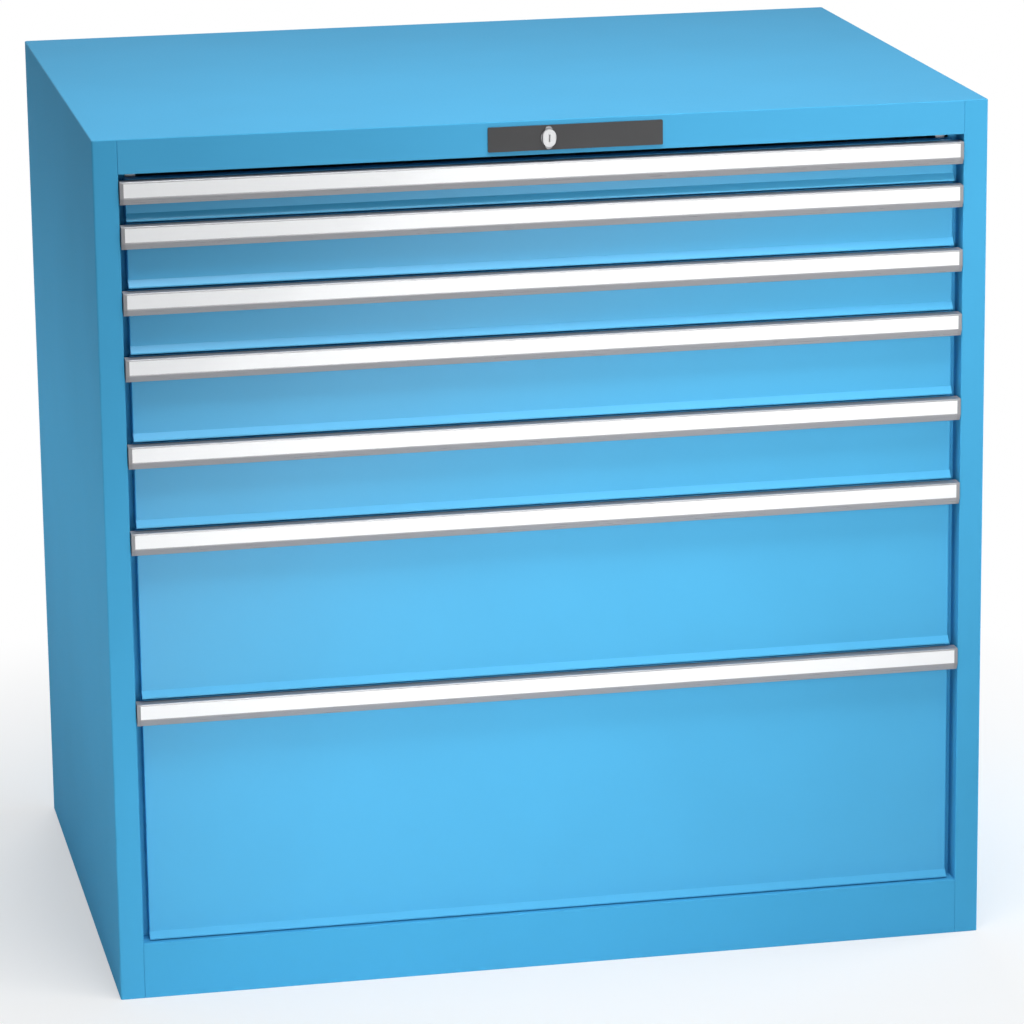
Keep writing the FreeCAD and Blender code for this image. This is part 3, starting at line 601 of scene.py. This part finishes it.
class CABINET_OT_fold_trays(CabinetOperator):
    """Fold the trays, with slotted walls and a hem round the mouth."""

    bl_idname = "cabinet.fold_trays"
    bl_label = "Fold the trays"

    def execute(self, context):
        coat = powder_coat("tray_powder_coat", self.colours.trays, shine=0.08)
        walls = tray_walls_tree()
        for number in DRAWERS:
            self.fold(number, coat, walls)
        return {"FINISHED"}

    def fold(self, number, coat, tree):
        """A pan with rounded bends, four slotted walls and a rolled hem."""
        node, body = f"drawer_{number}_tray", f"drawer_{number}"
        size = self.fittings
        low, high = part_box(node)
        sheet, bend = size.tray_sheet, size.tray_bend
        band_low = low.z + 3 * sheet
        band_high = high.z - size.tray_hem - sheet
        # Each point of a section is its inset from the wall's outer face, and its height
        pan = [
            (2.2 * sheet, low.z + sheet),
            (1.35 * sheet, low.z + 1.35 * sheet),
            (sheet, low.z + 2.2 * sheet),
            (sheet, band_low),
            (0.0, band_low),
            (0.0, low.z + bend),
            (0.3 * bend, low.z + 0.3 * bend),
            (bend, low.z),
        ]
        hem = [
            (0.0, band_high),
            (0.0, high.z - sheet),
            (0.3 * sheet, high.z - 0.3 * sheet),
            (sheet, high.z),
            (1.7 * sheet, high.z - 0.3 * sheet),
            (2 * sheet, high.z - sheet),
            (2 * sheet, high.z - size.tray_hem),
            (sheet, high.z - size.tray_hem),
            (sheet, band_high),
        ]
        band = band_high - band_low
        margins = 4 * sheet
        ends = 0.6 * size.slot_pitch
        rows = max(1, int((band + size.slot_row - size.slot_height - margins) / size.slot_row))
        values = {
            "Slot width": size.slot_width,
            "Slot height": min(size.slot_height, band - margins),
            "Slot pitch": size.slot_pitch,
            "Slot row": size.slot_row,
            "Sheet": sheet,
            "Band height": band,
            "Half width": high.x,
            "Front": low.y,
            "Rear": high.y,
            "Middle height": (band_low + band_high) / 2,
            "Columns": int((high.x - low.x - ends) / size.slot_pitch),
            "Side columns": int((high.y - low.y - ends) / size.slot_pitch),
            "Rows": rows,
            "Material": coat,
        }
        pieces = [
            solid_from_rings(f"{node}_pan", framed(low, high, pan), coat, closed=False),
            solid_from_rings(f"{node}_hem", framed(low, high, hem), coat, closed=True),
            run_tree(tree, f"{node}_walls", [], values),
        ]
        for piece in pieces:
            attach(piece, body)
            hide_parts(node)


class CABINET_OT_plate_slides(CabinetOperator):
    """Plate the rails and carriages, and rivet the rollers on."""

    bl_idname = "cabinet.plate_slides"
    bl_label = "Plate the slides"

    def execute(self, context):
        strip = drawn_metal("plated_strip", self.colours.slides, along=1)
        tyre = moulded("roller_tyre", self.colours.rollers, 0.30, 0.42)
        rivet = satin_metal("rivet_steel", self.colours.slides, metallic=1.0)
        heads = button_heads_tree()
        for number in DRAWERS:
            finish_node(f"drawer_{number}_rails", strip)
            finish_node(f"carriage_{number}", strip)
            self.dress_rollers(f"carriage_{number}", tyre)
            self.rivet_rollers(f"carriage_{number}", rivet, heads)
        finish_node("cabinet_rails", galvanised("galvanised_rails", self.colours.zinc))
        return {"FINISHED"}

    def bar_faces(self, node):
        """Where the carriage's bar lies across the cabinet: its inner and outer face."""
        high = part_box(node)[1]
        outer = high.x - self.fittings.roller_width
        return outer - self.fittings.bar_sheet, outer

    def dress_rollers(self, node, tyre):
        """Gives all faces but the bar's the tyre's material."""
        mesh = frame["nodes"][node].data
        mesh.materials.append(tyre)
        inner, outer = self.bar_faces(node)
        slack = 0.1 * MM
        for face in mesh.polygons:
            if not inner - slack < abs(face.center.x) < outer + slack:
                face.material_index = 1

    def rivet_rollers(self, node, metal, heads):
        """A rivet head on each inner roller's axle, on the side away from the roller."""
        low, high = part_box(node)
        outer = self.bar_faces(node)[1]
        middle = (low.z + high.z) / 2
        size = self.fittings
        first = low.y + size.first_axle
        for side, word in ((1, "right"), (-1, "left")):
            places = [(side * outer, along, middle) for along in (first, first + size.axle_step)]
            values = {
                "Radius": size.rivet_radius,
                "Rise": size.rivet_rise,
                "Sides": size.head_sides,
                "Facing": (side, 0, 0),
                "Material": metal,
            }
            piece = run_tree(heads, f"{node}_rivets_{word}", places, values)
            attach(piece, node)


class CABINET_OT_plate_uprights(CabinetOperator):
    """Galvanise the slotted uprights and plate the locking bar."""

    bl_idname = "cabinet.plate_uprights"
    bl_label = "Plate the uprights"

    def execute(self, context):
        zinc = galvanised("galvanised_steel", self.colours.zinc)
        finish_node("slotted_uprights", zinc)
        finish_node("locking_bar", drawn_metal("locking_bar_steel", self.colours.slides, along=2))
        return {"FINISHED"}


class CABINET_OT_finish_lock(CabinetOperator):
    """Mould the lock's cover strip and plate the lock."""

    bl_idname = "cabinet.finish_lock"
    bl_label = "Finish the lock"

    def execute(self, context):
        finish_node("lock_cover", moulded("dark_cover_plastic", self.colours.cover))
        finish_node("lock_bezel", satin_metal("lock_bezel_metal", self.colours.bezel, metallic=0.4))
        finish_node("lock_cylinder", satin_metal("lock_grip_metal", self.colours.lock, metallic=0.2))
        return {"FINISHED"}


class CABINET_OT_set_studio(CabinetOperator):
    """Set the floor, the lamps, the surrounding light and the camera."""

    bl_idname = "cabinet.set_studio"
    bl_label = "Set the studio"

    def execute(self, context):
        self.studio = context.scene.cabinet_studio
        self.lay_floor()
        self.light_room(context.scene)
        for box in SOFT_BOXES:
            self.hang(box)
        self.place_camera(context.scene)
        context.scene.view_settings.view_transform = "Standard"
        return {"FINISHED"}

    def hang(self, box):
        """Hangs a soft box, turned towards its target and then slanted about its own axis."""
        data = bpy.data.lights.new(box.name, "AREA")
        data.shape = "RECTANGLE"
        data.size, data.size_y = box.size
        data.spread = math.radians(box.spread)
        data.energy = getattr(self.studio, box.power)
        lamp = bpy.data.objects.new(box.name, data)
        bpy.context.scene.collection.objects.link(lamp)
        lamp.location = box.place
        aim = Vector(box.target) - Vector(box.place)
        lamp.rotation_euler = aim.to_track_quat("-Z", "Y").to_euler()
        if box.slant:
            lamp.rotation_euler.rotate_axis("Z", math.radians(box.slant))
        lamp.visible_camera = False

    def white_to_camera(self, tree, shader, white_kind):
        """A mix of the shader with plain white, and the share of white: 1 for camera and mirrors."""
        path = tree.nodes.new("ShaderNodeLightPath")
        white = tree.nodes.new(white_kind)
        seen = path.outputs["Is Camera Ray"]
        for ray in ("Is Glossy Ray", "Is Transmission Ray"):
            joint = tree.nodes.new("ShaderNodeMath")
            joint.operation = "MAXIMUM"
            tree.links.new(seen, joint.inputs[0])
            tree.links.new(path.outputs[ray], joint.inputs[1])
            seen = joint.outputs[0]
        white.inputs["Color"].default_value = (1, 1, 1, 1)
        mix = tree.nodes.new("ShaderNodeMixShader")
        tree.links.new(shader, mix.inputs[1])
        tree.links.new(white.outputs[0], mix.inputs[2])
        return seen, mix

    def light_room(self, scene):
        world = bpy.data.worlds.new("studio_world")
        world.use_nodes = True
        tree = world.node_tree
        tree.nodes.clear()
        light = tree.nodes.new("ShaderNodeBackground")
        light.inputs["Color"].default_value = (1, 1, 1, 1)
        light.inputs["Strength"].default_value = self.studio.daylight
        seen, mix = self.white_to_camera(tree, light.outputs[0], "ShaderNodeBackground")
        tree.links.new(seen, mix.inputs[0])
        exit_node = tree.nodes.new("ShaderNodeOutputWorld")
        tree.links.new(mix.outputs[0], exit_node.inputs[0])
        scene.world = world

    def lay_floor(self):
        """A pale floor that keeps the cabinet's shadow, and from 0.55 m fades to white by 1.25 m."""
        half = self.studio.floor_radius
        corners = [(-half, -half, 0), (half, -half, 0), (half, half, 0), (-half, half, 0)]
        mesh = bpy.data.meshes.new("studio_floor")
        mesh.from_pydata(corners, [], [(0, 1, 2, 3)])
        floor = bpy.data.objects.new("studio_floor", mesh)
        bpy.context.scene.collection.objects.link(floor)
        finish = Finish("floor_material", (0.93, 0.93, 0.93), shine=0.1)
        finish.cloud(finish.noise(per_metre=3, detail=3), 0.005)
        finish.surface.inputs["Roughness"].default_value = 0.9
        tree = finish.tree
        seen, mix = self.white_to_camera(tree, finish.surface.outputs[0], "ShaderNodeEmission")
        distance = finish.node("ShaderNodeVectorMath", {0: finish.place}, operation="LENGTH")
        far = finish.spread(distance.outputs["Value"], 0.45, 1, start=0.55, end=1.25)
        share = finish.node("ShaderNodeMath", {0: seen, 1: far}, operation="MULTIPLY").outputs[0]
        tree.links.new(share, mix.inputs[0])
        tree.links.new(mix.outputs[0], tree.nodes["Material Output"].inputs[0])
        mesh.materials.append(finish.material)

    def place_camera(self, scene):
        yaw, pitch, roll = self.studio.yaw, self.studio.pitch, self.studio.roll
        level = Vector((math.sin(yaw), math.cos(yaw), 0))
        right = Vector((math.cos(yaw), -math.sin(yaw), 0))
        ahead = math.cos(pitch) * level - Vector((0, 0, math.sin(pitch)))
        up = math.sin(pitch) * level + Vector((0, 0, math.cos(pitch)))
        turned_right = math.cos(roll) * right + math.sin(roll) * up
        turned_up = math.cos(roll) * up - math.sin(roll) * right
        data = bpy.data.cameras.new("camera")
        data.lens = self.studio.lens
        camera = bpy.data.objects.new("camera", data)
        scene.collection.objects.link(camera)
        axes = Matrix((turned_right, turned_up, -ahead)).transposed()
        camera.matrix_world = Matrix.Translation(self.studio.station) @ axes.to_4x4()
        scene.camera = camera


STEPS = (
    CABINET_OT_paint_housing,
    CABINET_OT_paint_fronts,
    CABINET_OT_finish_handles,
    CABINET_OT_fold_trays,
    CABINET_OT_plate_slides,
    CABINET_OT_plate_uprights,
    CABINET_OT_finish_lock,
    CABINET_OT_set_studio,
)


class CABINET_PT_sidebar(bpy.types.Panel):
    """Lists the cabinet's settings and steps."""

    bl_idname = "CABINET_PT_sidebar"
    bl_label = "Drawer cabinet"
    bl_space_type = "VIEW_3D"
    bl_region_type = "UI"
    bl_category = "Cabinet"

    def draw(self, context):
        for title, kind in GROUPS.items():
            box = self.layout.box()
            for name in kind.__annotations__:
                box.prop(getattr(context.scene, title), name)
        for step in STEPS:
            self.layout.operator(step.bl_idname)


GROUPS = {
    "cabinet_colours": CabinetColours,
    "cabinet_fittings": CabinetFittings,
    "cabinet_studio": CabinetStudio,
}


def register():
    for kind in (*GROUPS.values(), *STEPS, CABINET_PT_sidebar):
        bpy.utils.register_class(kind)
    for name, kind in GROUPS.items():
        setattr(bpy.types.Scene, name, PointerProperty(type=kind))


def unregister():
    for name in GROUPS:
        delattr(bpy.types.Scene, name)
    for kind in (CABINET_PT_sidebar, *reversed(STEPS), *GROUPS.values()):
        bpy.utils.unregister_class(kind)


def main():
    register()
    for step in STEPS:
        space, name = step.bl_idname.split(".")
        getattr(getattr(bpy.ops, space), name)()


if __name__ == "__main__":
    main()
